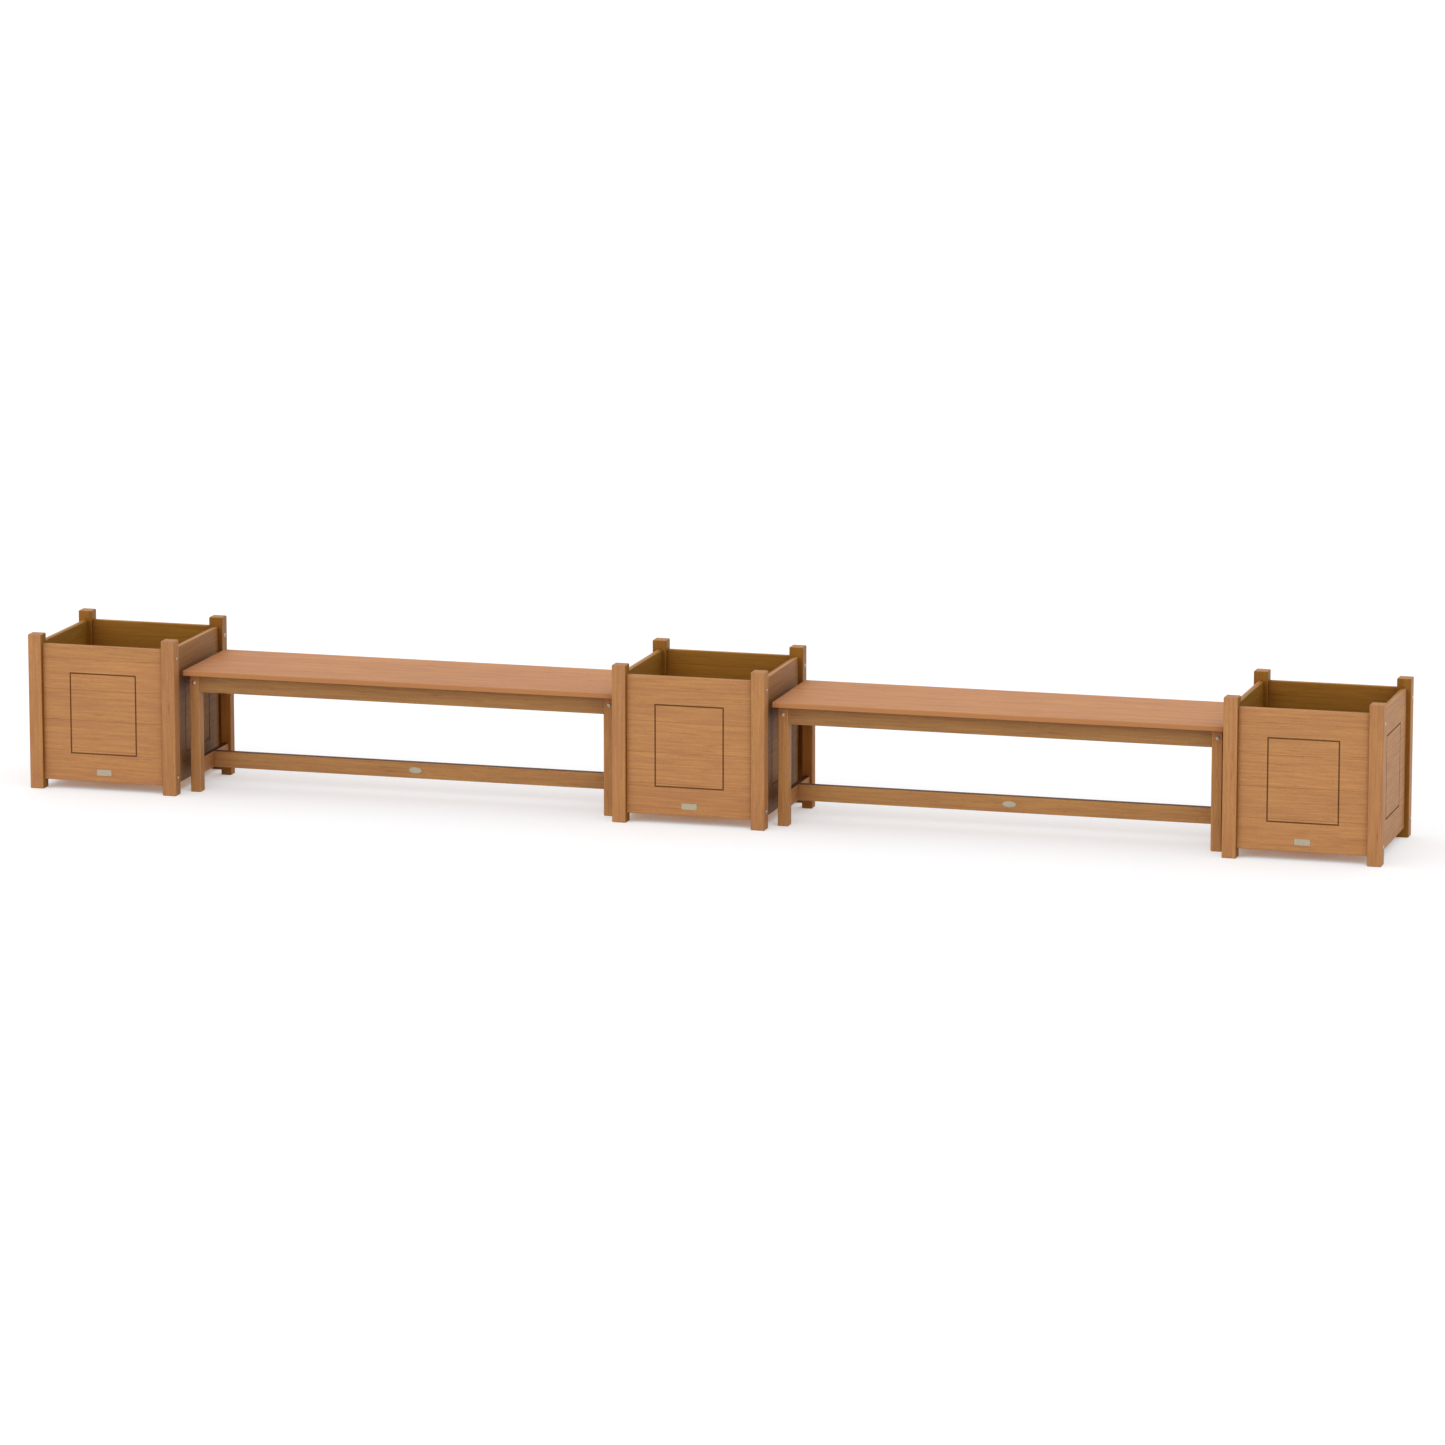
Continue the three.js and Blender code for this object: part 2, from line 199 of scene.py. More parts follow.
def growth_rings(tree, stave):
    """Waves round the log's heart."""
    wander_place = node(tree, "ShaderNodeVectorMath", {
        0: stave["shuffled"], 1: stretched(WANDER_LENGTH, WANDER_LENGTH),
    }, operation="MULTIPLY")
    wander = node(tree, "ShaderNodeTexNoise", {
        "Vector": wander_place.outputs[0], "Scale": 1.0, "Detail": 1.0,
    })
    strayed = node(tree, "ShaderNodeVectorMath", {
        0: wander.outputs["Color"],
        1: (0.0, 2 * RING_WANDER * MM, 2 * RING_WANDER * MM),
        2: stave["inside"],
    }, operation="MULTIPLY_ADD")
    heart = node(tree, "ShaderNodeVectorMath", {
        0: stave["chance"],
        1: (0.0, HEART_SPREAD * MM, HEART_SPREAD * MM),
        2: (0.0, -HEART_SPREAD * MM / 2, HEART_DEPTH * MM),
    }, operation="MULTIPLY_ADD")
    from_heart = node(tree, "ShaderNodeVectorMath", {
        0: strayed.outputs[0], 1: heart.outputs[0],
    }, operation="ADD")
    rings = node(tree, "ShaderNodeTexWave", {
        "Vector": from_heart.outputs[0],
        "Scale": 1 / (RING_SPACING * MM * WAVE_TURNS),
        "Distortion": RING_WOBBLE,
        "Detail": 2.0,
        "Detail Scale": 0.6,
    }, wave_type="RINGS", rings_direction="X")
    return rings.outputs["Fac"]


print("ring scale:", round(1 / (RING_SPACING * MM * WAVE_TURNS), 1))

# %% [markdown]
# The other patterns are noises drawn out along the grain: soft bands 8 mm wide and two
# hands long, wide clouds, and dark mineral streaks. Teak's fibres and its pores, which
# are dashes 0.3 mm wide, are too fine to show from here, so they're drawn several times
# as coarse. Each pattern then gets its share, which says how much of it shows.

# %% Bands, clouds, streaks, fibres and pores
PATTERN_SIZES = {  # length and width in mm, and the noise's detail
    "band": (190, 8, 1.0),
    "cloud": (260, 60, 1.0),
    "streak": (80, 7, 1.0),
    "fibre": (45, 4, 2.0),
    "pore": (12, 1.0, 0.0),
}
PATTERN_SHARES = {  # a low and a high value of the pattern, and its share at each
    "band": (0.36, 0.64, 0.0, 1.0),
    "ring": (0.55, 1.0, 0.0, 0.16),
    "cloud": (0.35, 0.65, 0.97, 1.03),
    "streak": (0.64, 0.80, 0.0, 0.4),
    "fibre": (0.3, 0.7, 0.96, 1.04),
    "pore": (0.66, 0.74, 0.0, 0.3),
    "stave": (0.0, 1.0, 0.965, 1.035),
    "hue": (0.0, 1.0, -0.15, 0.15),
}


def wood_patterns(tree, stave):
    """The share of each pattern."""
    chances = node(tree, "ShaderNodeSeparateColor", {0: stave["chance"]})
    found = {
        "ring": growth_rings(tree, stave),
        "stave": chances.outputs["Red"],
        "hue": chances.outputs["Green"],
    }
    for pattern, (length, width, detail) in PATTERN_SIZES.items():
        drawn = node(tree, "ShaderNodeVectorMath", {
            0: stave["shuffled"], 1: stretched(length, width),
        }, operation="MULTIPLY")
        noise = node(tree, "ShaderNodeTexNoise", {
            "Vector": drawn.outputs[0], "Scale": 1.0, "Detail": detail,
        })
        found[pattern] = noise.outputs["Fac"]
    shown = {}
    for pattern, (least, most, at_least, at_most) in PATTERN_SHARES.items():
        shown[pattern] = node(tree, "ShaderNodeMapRange", {
            "Value": found[pattern],
            "From Min": least, "From Max": most,
            "To Min": at_least, "To Max": at_most,
        }).outputs["Result"]
    return shown


print("patterns:", ", ".join(PATTERN_SHARES))

# %% [markdown]
# Two staves meet in a thin dark glue line. A cut end soaks up more oil than a face and
# is darker. The glue line goes by the distance from the stave's middle, and the cut end
# by whether the surface faces along the grain.

# %% Glue lines and cut ends
GLUE_LINE = 1.1  # mm
GLUE_SHARE = 0.8
END_GRAIN_SHARE = 0.35


def glue_line(tree, stave, width):
    """The dark line at the edge of a stave of this width in mm."""
    across = node(tree, "ShaderNodeSeparateXYZ", {0: stave["inside"]})
    from_middle = node(tree, "ShaderNodeMath", {
        0: across.outputs["Y"],
    }, operation="ABSOLUTE")
    edge = width * MM / 2
    return node(tree, "ShaderNodeMapRange", {
        "Value": from_middle.outputs[0],
        "From Min": edge - GLUE_LINE * MM, "From Max": edge,
        "To Min": 0.0, "To Max": GLUE_SHARE,
    }).outputs["Result"]


def end_grain(tree, stave, grain_axis):
    """The cut ends of a piece."""
    end_on = node(tree, "ShaderNodeMath", {
        0: stave["facing"][grain_axis],
    }, operation="ABSOLUTE")
    return node(tree, "ShaderNodeMapRange", {
        "Value": end_on.outputs[0],
        "From Min": 0.8, "From Max": 0.95, "To Min": 0.0, "To Max": END_GRAIN_SHARE,
    }).outputs["Result"]


print("glue line in mm:", GLUE_LINE)

# %% [markdown]
# The colour is mixed like paint. A golden and a rosy tone make the ground, the darker tones
# go over it pattern by pattern, and then clouds and fibres make all of it a little lighter
# or darker. Last comes one colour for the whole piece: its own tone, which on the aprons,
# the back legs and the boards in a box is painted shade.

# %% Colours of teak
GOLDEN, ROSY, LATE_WOOD, MINERAL = (
    linear(tone) for tone in ("#d19158", "#c58455", "#b67744", "#8f552b"))


def teak_colour(tree, shown, glue, ends, tone_and_shade):
    """The wood's own colour, times the piece's tone, which is painted shade on some pieces.
    """
    banded = node(tree, "ShaderNodeMath", {
        0: shown["band"], 1: shown["hue"],
    }, operation="ADD", use_clamp=True)
    colour = node(tree, "ShaderNodeMix", {
        MIX_FACTOR: banded.outputs[0], MIX_FIRST: GOLDEN, MIX_SECOND: ROSY,
    }, data_type="RGBA").outputs[MIX_RESULT]
    for share, tone in (
        (shown["ring"], LATE_WOOD),
        (shown["streak"], MINERAL),
        (shown["pore"], MINERAL),
        (glue, MINERAL),
        (ends, LATE_WOOD),
    ):
        colour = node(tree, "ShaderNodeMix", {
            MIX_FACTOR: share, MIX_FIRST: colour, MIX_SECOND: tone,
        }, data_type="RGBA").outputs[MIX_RESULT]
    strength = node(tree, "ShaderNodeMath", {
        0: shown["cloud"], 1: shown["stave"],
    }, operation="MULTIPLY")
    strength = node(tree, "ShaderNodeMath", {
        0: strength.outputs[0], 1: shown["fibre"],
    }, operation="MULTIPLY")
    varied = node(tree, "ShaderNodeVectorMath", {
        0: colour, "Scale": strength.outputs[0],
    }, operation="SCALE")
    return node(tree, "ShaderNodeVectorMath", {
        0: varied.outputs[0], 1: linear(tone_and_shade)[:3],
    }, operation="MULTIPLY").outputs[0]


print("golden teak in linear light:", [round(value, 3) for value in GOLDEN[:3]])

# %% [markdown]
# Some faces are painted apart from the rest of their piece. A seat's upright edges are
# painted lighter and more golden than its top, a painted light, and the upper faces of the
# low rails, which lie under the seat, are painted darker, a painted shade. Both go by how
# far the surface faces up. Corners are painted darker as well, a painted shade. Ambient
# occlusion finds them: it tells how much of its surroundings a point sees. Close to the
# ground the painted corner shade fades out.

# %% Painted light on seat edges, painted shade on rail tops and in corners
LIT_EDGE_SHARE = 0.6
# The next two tones are painted shade: on the tops of the low rails and in corners.
RAIL_TOP_SHADE_TONE = "#8a7a66"  # this and the next multiply the wood's own colour
CORNER_SHADE_TONE = "#b38959"
# how far from a corner the painted shade reaches, and the height below which it fades out
CORNER_SHADE_REACH = 150  # mm, how far from a corner the wood keeps its tone
SHADE_FADE_HEIGHT = 150  # mm above the ground
STEEP, LEVEL = 0.4, 0.8  # how far an upright and a level face look up or down


def paint_light_on_seat_edges(tree, stave, colour):
    """A seat's upright edges, painted lighter and more golden: a painted light."""
    upward = node(tree, "ShaderNodeMath", {0: stave["facing"]["Z"]}, operation="ABSOLUTE")
    edges = node(tree, "ShaderNodeMapRange", {
        "Value": upward.outputs[0],
        "From Min": STEEP, "From Max": LEVEL, "To Min": LIT_EDGE_SHARE, "To Max": 0.0,
    })
    return node(tree, "ShaderNodeMix", {
        MIX_FACTOR: edges.outputs[0], MIX_FIRST: colour, MIX_SECOND: GOLDEN,
    }, data_type="RGBA").outputs[MIX_RESULT]


def paint_shade_on_rail_tops(tree, stave, colour):
    """A low rail's upper face, under the seat, painted darker: a painted shade."""
    upper = node(tree, "ShaderNodeMapRange", {
        "Value": stave["facing"]["Z"],
        "From Min": STEEP, "From Max": LEVEL, "To Min": 0.0, "To Max": 1.0,
    })
    return node(tree, "ShaderNodeMix", {
        MIX_FACTOR: upper.outputs[0], MIX_FIRST: colour, MIX_SECOND: linear(RAIL_TOP_SHADE_TONE),
    }, data_type="RGBA", blend_type="MULTIPLY").outputs[MIX_RESULT]


def paint_shade_in_corners(tree, stave, colour):
    """Painted shade in corners, which fades out close to the ground."""
    corner_openness = node(tree, "ShaderNodeAmbientOcclusion", {
        "Distance": CORNER_SHADE_REACH * MM,
    }, samples=6)
    darker = node(tree, "ShaderNodeMapRange", {
        "Value": corner_openness.outputs["AO"],
        "From Min": 0.1, "From Max": 0.85, "To Min": 1.0, "To Max": 0.0,
    })
    shade_height_fade = node(tree, "ShaderNodeMapRange", {
        "Value": stave["row"]["Z"],
        "From Min": 0.0, "From Max": SHADE_FADE_HEIGHT * MM, "To Min": 0.0, "To Max": 1.0,
    })
    corner_shade = node(tree, "ShaderNodeMath", {
        0: darker.outputs[0], 1: shade_height_fade.outputs[0],
    }, operation="MULTIPLY")
    return node(tree, "ShaderNodeMix", {
        MIX_FACTOR: corner_shade.outputs[0],
        MIX_FIRST: colour, MIX_SECOND: linear(CORNER_SHADE_TONE),
    }, data_type="RGBA", blend_type="MULTIPLY").outputs[MIX_RESULT]


print("sheltered tone in linear light:", [round(v, 3) for v in linear(CORNER_SHADE_TONE)[:3]])

# %% [markdown]
# Three more finishes belong to places on a planter. They go by the distance from the
# box's middle, which is the same sum for all three boxes, because they stand at equal
# distances. A mask is 1 where every one of its tests holds, and 0 elsewhere.

# %% Places on a planter, in millimetres
UNIT = 2160  # from one planter to the next
PANEL_FACE = 259  # from a box's middle to its panels' outer faces
PANEL_MIDDLE = 249  # to the middle of their thickness
POST_FACE = 275  # to its posts' outer faces
POST_INNER = 226.5  # to just past their inner faces
OUTLINE_HALF_WIDTH = 125
OUTLINE_SPAN = (131, 424)  # heights above the ground
OUTLINE_SPARE = 0.5  # so that the walls of the routed outline count with it
GROOVE_START = 0.3  # below the panel's face


def distances_from_middle(tree, stave):
    """How far a point is from its box's middle along the row, and from front to back."""
    distances = {}
    for axis in "XY":
        centred = node(tree, "ShaderNodeMath", {
            0: stave["row"][axis], 1: UNIT * MM / 2, 2: -UNIT * MM / 2,
        }, operation="WRAP")
        distances[axis] = node(tree, "ShaderNodeMath", {
            0: centred.outputs[0],
        }, operation="ABSOLUTE").outputs[0]
    return distances


def mask(tree, tests):
    """1 where every test holds. A test is a value, a comparison and a limit."""
    held = 1.0
    for value, comparison, limit in tests:
        passed = node(tree, "ShaderNodeMath", {0: value, 1: limit}, operation=comparison)
        held = node(tree, "ShaderNodeMath", {
            0: passed.outputs[0], 1: held,
        }, operation="MULTIPLY").outputs[0]
    return held


print("boxes stand", UNIT, "mm apart")

# %% [markdown]
# The faces beside a bench lie in its shade and are painted darker, a painted shade. The
# groove of the outline that is routed in every panel is painted dark, a painted shade. The
# inner faces of the boxes and of their posts are painted a darker brown, a painted shade
# inside the boxes.

# %% Painted shade beside a bench, in the routed outline and inside the boxes
# The next three tones are painted shade: beside a bench, inside the boxes, and in the
# routed outline.
BESIDE_TONE = "#d7d8b8"  # this and the sealer's tone multiply the wood's own colour
INSIDE_SHADE_TONE = "#d7d170"
GROOVE_SHADE_TONE = "#5c3608"
GROOVE_SHADE_SHARE = 0.75
SIDEWAYS = 0.5  # a face that looks this far along the row is a side face


def shaded_sides(tree, stave, off_middle, colour, start):
    """The faces beside a bench, behind the front posts: all past this start in mm."""
    row, facing = stave["row"], stave["facing"]
    along_row = node(tree, "ShaderNodeMath", {0: row["X"]}, operation="ABSOLUTE")
    sideways = node(tree, "ShaderNodeMath", {0: facing["X"]}, operation="ABSOLUTE")
    beside = mask(tree, (
        (along_row.outputs[0], "LESS_THAN", UNIT * MM),
        (off_middle["X"], "GREATER_THAN", start * MM),
        (sideways.outputs[0], "GREATER_THAN", SIDEWAYS),
        (row["Y"], "GREATER_THAN", -POST_INNER * MM),
    ))
    return node(tree, "ShaderNodeMix", {
        MIX_FACTOR: beside, MIX_FIRST: colour, MIX_SECOND: linear(BESIDE_TONE),
    }, data_type="RGBA", blend_type="MULTIPLY").outputs[MIX_RESULT]


def paint_shade_in_outline(tree, stave, off_middle, colour, axes):
    """Painted shade in the routed outline: below the panel's outer face, and within the
    outline.
    """
    bottom, top = OUTLINE_SPAN
    above_middle = node(tree, "ShaderNodeMath", {
        0: stave["row"]["Z"], 1: (bottom + top) / 2 * MM,
    }, operation="SUBTRACT")
    off_height = node(tree, "ShaderNodeMath", {
        0: above_middle.outputs[0],
    }, operation="ABSOLUTE")
    width_axis, depth_axis = axes[0], axes[2]
    in_groove = mask(tree, (
        (off_middle[depth_axis], "LESS_THAN", (PANEL_FACE - GROOVE_START) * MM),
        (off_middle[width_axis], "LESS_THAN", (OUTLINE_HALF_WIDTH + OUTLINE_SPARE) * MM),
        (off_height.outputs[0], "LESS_THAN", ((top - bottom) / 2 + OUTLINE_SPARE) * MM),
        (off_middle[depth_axis], "GREATER_THAN", PANEL_MIDDLE * MM),
    ))
    outline_shade = node(tree, "ShaderNodeMath", {
        0: in_groove, 1: GROOVE_SHADE_SHARE,
    }, operation="MULTIPLY")
    return node(tree, "ShaderNodeMix", {
        MIX_FACTOR: outline_shade.outputs[0], MIX_FIRST: colour, MIX_SECOND: linear(GROOVE_SHADE_TONE),
    }, data_type="RGBA").outputs[MIX_RESULT]


def paint_shade_inside(tree, off_middle, colour, shaded_axes, reach):
    """Painted shade on the inner faces, within this reach in mm of the middle on either
    axis.
    """
    nearest = UNIT * MM
    for axis in shaded_axes:
        nearest = node(tree, "ShaderNodeMath", {
            0: off_middle[axis], 1: nearest,
        }, operation="MINIMUM").outputs[0]
    within = mask(tree, ((nearest, "LESS_THAN", reach * MM),))
    return node(tree, "ShaderNodeMix", {
        MIX_FACTOR: within, MIX_FIRST: colour, MIX_SECOND: linear(INSIDE_SHADE_TONE),
    }, data_type="RGBA", blend_type="MULTIPLY").outputs[MIX_RESULT]


print("routed outline in mm:", 2 * OUTLINE_HALF_WIDTH, OUTLINE_SPAN[1] - OUTLINE_SPAN[0])

# %% [markdown]
# Now the steps come together in one finish. The patterns also set roughness and relief,
# so that pores look a little duller and deeper than the wood between them. The IOR is
# that of oil-soaked wood. Open pores scatter part of the gloss, so its level is lower.

# %% Oiled teak
TEAK_ROUGHNESS = 0.56
TEAK_IOR = 1.47
TEAK_GLOSS = 0.3
PORE_DULLNESS = 0.25
PORE_DEPTH = 1.4  # against the height of the fibres
RELIEF = 0.25  # mm


def oiled_teak(name, axes, cell, offset, tone_and_shade, inside_shade=None, beside=None,
               routed=False, painted_lit_edges=False, low=False):
    """axes are grain, across and depth; cell is a stave's box in mm, offset its shift.
    tone_and_shade is the piece's own tone, which is painted shade on some pieces.
    inside_shade holds the axes and the reach of the painted shade inside a box, and beside
    how far from a box's middle the faces next to a bench start, which get painted shade.
    The last three switch on painted shade in the routed outline, painted light on a seat's
    upright edges, and painted shade on the tops of the low rails."""
    material, tree, output = new_material(name)
    stave = place_in_stave(tree, axes, cell, offset)
    shown = wood_patterns(tree, stave)
    glue = glue_line(tree, stave, cell[1])
    ends = end_grain(tree, stave, axes[0])
    colour = teak_colour(tree, shown, glue, ends, tone_and_shade)
    # painted light on a seat's upright edges
    if painted_lit_edges:
        colour = paint_light_on_seat_edges(tree, stave, colour)
    # painted shade on the upper faces of the low rails
    if low:
        colour = paint_shade_on_rail_tops(tree, stave, colour)
    # painted shade in corners
    colour = paint_shade_in_corners(tree, stave, colour)
    off_middle = distances_from_middle(tree, stave)
    if beside:
        colour = shaded_sides(tree, stave, off_middle, colour, beside)
    # painted shade in the routed outline
    if routed:
        colour = paint_shade_in_outline(tree, stave, off_middle, colour, axes)
    # painted shade inside a box
    if inside_shade:
        colour = paint_shade_inside(tree, off_middle, colour, *inside_shade)
    dullness = node(tree, "ShaderNodeMath", {
        0: shown["pore"], 1: PORE_DULLNESS, 2: TEAK_ROUGHNESS,
    }, operation="MULTIPLY_ADD")
    height = node(tree, "ShaderNodeMath", {
        0: shown["pore"], 1: -PORE_DEPTH, 2: shown["fibre"],
    }, operation="MULTIPLY_ADD")
    relief = node(tree, "ShaderNodeBump", {
        "Height": height.outputs[0], "Strength": 0.5, "Distance": RELIEF * MM,
    })
    surface = node(tree, "ShaderNodeBsdfPrincipled", {
        "Base Color": colour,
        "Roughness": dullness.outputs[0],
        "IOR": TEAK_IOR,
        "Specular IOR Level": TEAK_GLOSS,
        "Normal": relief.outputs[0],
    })
    tree.links.new(surface.outputs[0], output.inputs["Surface"])
    return material


print("teak ready")

# %% [markdown]
# Which way a piece was cut decides how its grain runs: along the row in the front and
# back panels, the seats and the long rails, from front to back in the side panels and
# the end rails, and upright in the posts and legs. So there is one finish for each way
# of cutting. The cells are as wide as a stave where a board is glued up, and wide enough
# to hold a whole piece elsewhere.
#
# The washes follow the photograph. The seats' tone is the lightest. The aprons, the back
# legs and the boards in a box get darker tones, which are painted shade, as these lie under
# the seat, at the back of the bench and inside a box.

# %% Finishes for each kind of piece
STAVE, SEAT_STAVE = 110, 109.5  # mm, like all sizes in this cell
QUARTER_METRE, HALF_METRE, METRE = 250, 500, 1000
PANEL_START = 77  # shifts the panels' staves, so that one starts at the lower edge
PANEL_EDGE, POST_EDGE = 1.5, 5  # so far in, an outer face still counts as one
UPRIGHT = ("ZYX", (METRE, HALF_METRE, HALF_METRE), (0, 0, 0))

teak = {
    "face_panel": oiled_teak(
        "oiled_teak_face_panels", "XZY",
        (UNIT, STAVE, HALF_METRE), (UNIT / 2, PANEL_START, 0),
        tone_and_shade="#f4fbf9", inside_shade=("Y", PANEL_MIDDLE), routed=True),
    "side_panel": oiled_teak(
        "oiled_teak_side_panels", "YZX",
        (METRE, STAVE, HALF_METRE), (METRE / 2, PANEL_START, 0),
        tone_and_shade="#f4ffff", inside_shade=("X", PANEL_MIDDLE), beside=PANEL_FACE - PANEL_EDGE,
        routed=True),
    "post": oiled_teak(
        "oiled_teak_posts", *UPRIGHT,
        tone_and_shade="#eef4f1", inside_shade=("XY", POST_INNER), beside=POST_FACE - POST_EDGE),
    "leg": oiled_teak("oiled_teak_legs", *UPRIGHT, tone_and_shade="#f4fff5"),
    # the back legs' darker tone is painted shade
    "back_leg": oiled_teak("oiled_teak_back_legs", *UPRIGHT, tone_and_shade="#dbd692"),
    "seat": oiled_teak(
        "oiled_teak_seats", "XYZ", (UNIT, SEAT_STAVE, METRE), (0, 0, 0),
        tone_and_shade="#fffefd", painted_lit_edges=True),
    # the aprons' darker tone is painted shade, under the seat
    "apron": oiled_teak(
        "oiled_teak_aprons", "XZY", (UNIT, HALF_METRE, HALF_METRE), (0, 0, 0),
        tone_and_shade="#d6e3d8"),
    "long_stretcher": oiled_teak(
        "oiled_teak_long_stretchers", "XZY",
        (UNIT, HALF_METRE, HALF_METRE), (0, 0, HALF_METRE / 2),
        tone_and_shade="#f0fdf5", low=True),
    "end_rail": oiled_teak(
        "oiled_teak_end_rails", "YZX",
        (METRE, QUARTER_METRE, HALF_METRE), (METRE / 2, 0, 0),
        tone_and_shade="#e8eeec", low=True),
    # the inner boards' darker tone is painted shade, inside the box
    "inner": oiled_teak(
        "oiled_teak_inner_boards", "YXZ", (METRE, STAVE, METRE), (METRE / 2, 0, 0),
        tone_and_shade="#b8b8b4"),
}
print("finishes:", len(teak))

# %% [markdown]
# A piece's name ends with what it is, after the name of its planter or bench, so the name
# finds the finish. The endings that aren't listed, such as those of the front legs and
# the posts, start with the finish's own name.

# %% Wood on every piece
FINISHES = {
    "panel_front": "face_panel", "panel_back": "face_panel",
    "panel_left": "side_panel", "panel_right": "side_panel",
    "floor": "inner", "cleat_left": "inner", "cleat_right": "inner",
    "seat": "seat", "long_stretcher": "long_stretcher",
    "apron_front": "apron", "apron_back": "apron",
    "end_rail_left": "end_rail", "end_rail_right": "end_rail",
    "end_stretcher_left": "end_rail", "end_stretcher_right": "end_rail",
    "cross_rail": "end_rail",
    "leg_back_left": "back_leg", "leg_back_right": "back_leg",
}
for name, piece in nodes.items():
    _, _, ending = name.split("_", 2)
    finish = FINISHES.get(ending, ending.split("_")[0])
    piece.data.materials.clear()
    piece.data.materials.append(teak[finish])
print("pieces with wood:", len(nodes))

# %% [markdown]
# Stainless steel bolts draw the boxes and the bench ends together, and small plates sit
# on panels and rails. All of these can be made from rings of points, like turning on a
# lathe: a list of rings with as many points each, and faces from each ring to the next.
# A hexagon's ring has the same number of points as a round one, so the rings join up.

# %% Rings of points
SPIN_POINTS = 36


def ring(radius, height, hexagon=False):
    """Points round +Z at a height. A hexagon's radius is measured to its flats."""
    points = []
    for step in range(SPIN_POINTS):
        turn = 2 * math.pi * step / SPIN_POINTS
        reach = radius
        if hexagon:
            off_flat = (turn + math.pi / 6) % (math.pi / 3) - math.pi / 6
            reach = radius / math.cos(off_flat)
        points.append((reach * math.cos(turn), reach * math.sin(turn), height))
    return points


def closed_skin(rings):
    """Faces over rings of equal length, with a flat cap at both ends."""
    count = len(rings[0])
    points = [point for one in rings for point in one]
    faces = [tuple(reversed(range(count)))]
    for level in range(len(rings) - 1):
        low, high = level * count, (level + 1) * count
        for step in range(count):
            after = (step + 1) % count
            faces.append((low + step, low + after, high + after, high + step))
    last = (len(rings) - 1) * count
    faces.append(tuple(range(last, last + count)))
    return points, faces


print("points on a ring:", SPIN_POINTS)

# %% [markdown]
# The bolts of one planter are alike, so they share an object. The skin is copied to each
# place, turned by three axes that say where its own directions point there. The object then
# rides on the furniture's one body and takes the finish that it is given.

# %% Copies of a skin
SHARP_EDGE = 35  # degrees


def metal_piece(name, skin, places, material):
    """One object that holds a copy of the skin at each place: an origin and its axes."""
    skin_points, skin_faces = skin
    points, faces = [], []
    for origin, across, up, out in places:
        start = len(points)
        turn = np.array([across, up, out]).T
        for point in skin_points:
            points.append(tuple(np.array(origin) + turn @ np.array(point)))
        faces.extend(tuple(start + at for at in face) for face in skin_faces)
    mesh = bpy.data.meshes.new(name)
    mesh.from_pydata(points, [], faces)
    mesh.shade_smooth()
    mesh.set_sharp_from_angle(angle=math.radians(SHARP_EDGE))
    mesh.materials.append(material)
    piece = bpy.data.objects.new(name, mesh)
    scene.collection.objects.link(piece)
    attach(piece, "root")


print("edges stay sharp from", SHARP_EDGE, "degrees")

# %% [markdown]
# Each bolt has a low domed head with a thin flange and a hexagonal socket, and a plain
# shank that goes on into the wood's bore. The profile runs from the shank's end up over
# the flange and the dome and down into the socket.

# %% A bolt
HEAD_RADIUS = 6.8 * MM
HEAD_HEIGHT = 3.3 * MM
CROWN_RADIUS = 5.4 * MM
FLANGE = 0.9 * MM
FLANGE_PROFILE = ((0.97, 0.0), (1.0, 0.3), (1.0, 0.7), (0.95, 1.0))  # shares out and up
DOME_FROM, DOME_TO = 12, 78  # degrees
DOME_STEPS = 6
SOCKET_RADIUS = 2.0 * MM  # to the flats
SOCKET_RIM = 1.35  # the dome's inner end, in socket radii
SOCKET_MOUTH = 1.12  # the hexagon's upper edge, in socket radii too
SOCKET_BEVEL = 0.3 * MM
SOCKET_DEPTH = 1.9 * MM
SHANK_RADIUS = 3.0 * MM
SHANK_BEVEL = 0.2  # at its end, in shank radii
SHANK_LENGTH = 78 * MM
LEG_SHANK_LENGTH = 70 * MM


def bolt(shank_length):
    """A flanged button head on the plane z = 0 with its shank below."""
    flange = [ring(HEAD_RADIUS * out, FLANGE * up) for out, up in FLANGE_PROFILE]
    inner_end = SOCKET_RADIUS * SOCKET_RIM
    dome = []
    steepest = math.sin(math.radians(DOME_TO))
    for step in range(DOME_STEPS + 1):
        share = step / DOME_STEPS
        lean = math.radians(DOME_FROM + (DOME_TO - DOME_FROM) * share)
        dome.append(ring(
            inner_end + (CROWN_RADIUS - inner_end) * math.cos(lean),
            FLANGE + (HEAD_HEIGHT - FLANGE) * math.sin(lean) / steepest,
        ))
    return closed_skin([
        ring(SHANK_RADIUS * (1 - SHANK_BEVEL), -shank_length),
        ring(SHANK_RADIUS, -shank_length + SHANK_RADIUS * SHANK_BEVEL),
        ring(SHANK_RADIUS, 0),
        *flange,
        *dome,
        ring(SOCKET_RADIUS * SOCKET_MOUTH, HEAD_HEIGHT, hexagon=True),
        ring(SOCKET_RADIUS, HEAD_HEIGHT - SOCKET_BEVEL, hexagon=True),
        ring(SOCKET_RADIUS, HEAD_HEIGHT - SOCKET_DEPTH, hexagon=True),
    ])


print("points on a bolt:", len(bolt(SHANK_LENGTH)[0]))

# %% [markdown]
# Both metals here have a satin surface: fine scratches from tumbling or brushing, which
# spread a highlight, and a cloudy, slightly worn tone. A metal shows its colour in its
# reflections, so its metallic value is 1. Its scratches are 0.05 mm wide in real life and
# are drawn ten times as coarse. Where a tone is given for them, the hollows, which ambient
# occlusion finds, are painted dark: a painted shade and a painted dark reflection.

# %% Satin metals
SCRATCH_SIZES = (14, 14, 0.5)  # mm along X, Y and Z
SCRATCH_DEPTH = 0.05
CLOUD_SIZE = 9
HOLLOW_SHADE_REACH = 5


